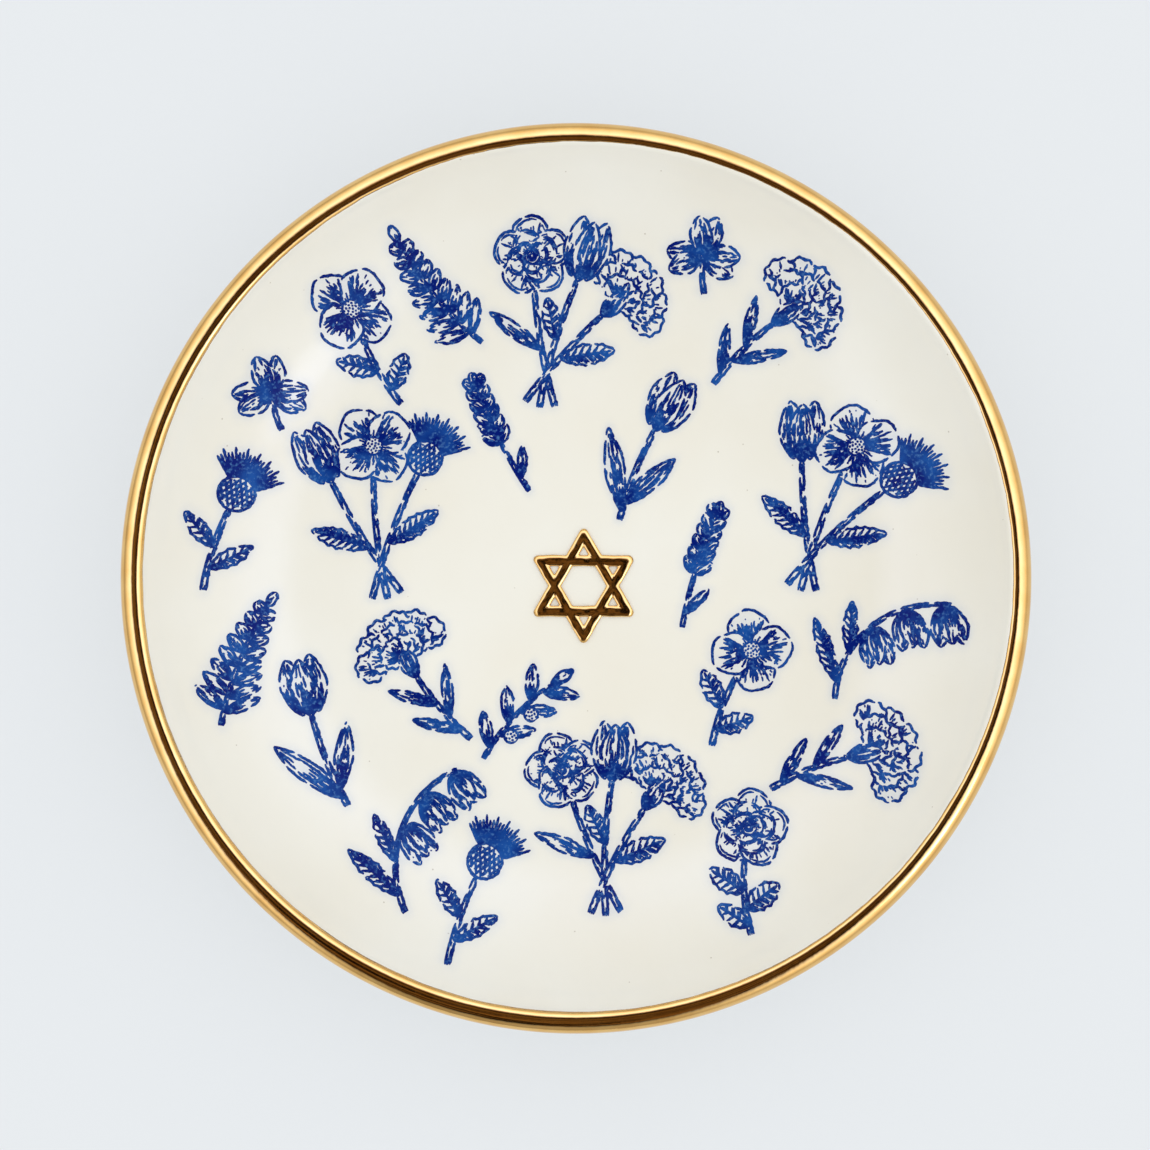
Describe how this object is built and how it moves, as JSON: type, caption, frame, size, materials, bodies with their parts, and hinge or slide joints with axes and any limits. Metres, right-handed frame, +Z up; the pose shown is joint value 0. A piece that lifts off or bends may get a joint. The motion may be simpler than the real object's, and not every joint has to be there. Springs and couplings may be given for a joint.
{
  "type": "trinket dish",
  "caption": "Round glazed trinket dish on a foot ring, with a gilded lip, a gilded six-pointed star in relief on its floor and scattered blue botanical prints, for holding rings.",
  "frame": {"origin": "centre of the foot ring, on the surface the dish stands on", "axes": "+Z up along the dish's axis; +Y towards the upper point of the star"},
  "size_m": [0.102, 0.102, 0.016],
  "materials": {
    "bisque": "unglazed fired clay",
    "glaze": "clear gloss glaze over white clay",
    "gold": "bright fired gold lustre",
    "cobalt_print": "fired cobalt transfer print"
  },
  "bodies": {
    "root": {"dish_body": "bisque", "glaze_coat": "glaze", "recess_glaze": "glaze", "rim_gilding": "gold", "star_relief": "bisque", "star_gilding": "gold", "posy_west": "cobalt_print", "posy_east": "cobalt_print", "nosegay_south": "cobalt_print", "nosegay_north": "cobalt_print", "carnation_northeast": "cobalt_print", "carnation_southeast": "cobalt_print", "carnation_southwest": "cobalt_print", "poppy_northwest": "cobalt_print", "poppy_inner": "cobalt_print", "tulip_southwest": "cobalt_print", "tulip_northeast": "cobalt_print", "rose_southeast": "cobalt_print", "bell_southwest": "cobalt_print", "bell_east": "cobalt_print", "fern_west": "cobalt_print", "fern_north": "cobalt_print", "lavender_inner": "cobalt_print", "lavender_east": "cobalt_print", "thistle_west": "cobalt_print", "thistle_south": "cobalt_print", "clover_north": "cobalt_print", "clover_west": "cobalt_print", "olive_south": "cobalt_print"}
  },
  "joints": []
}
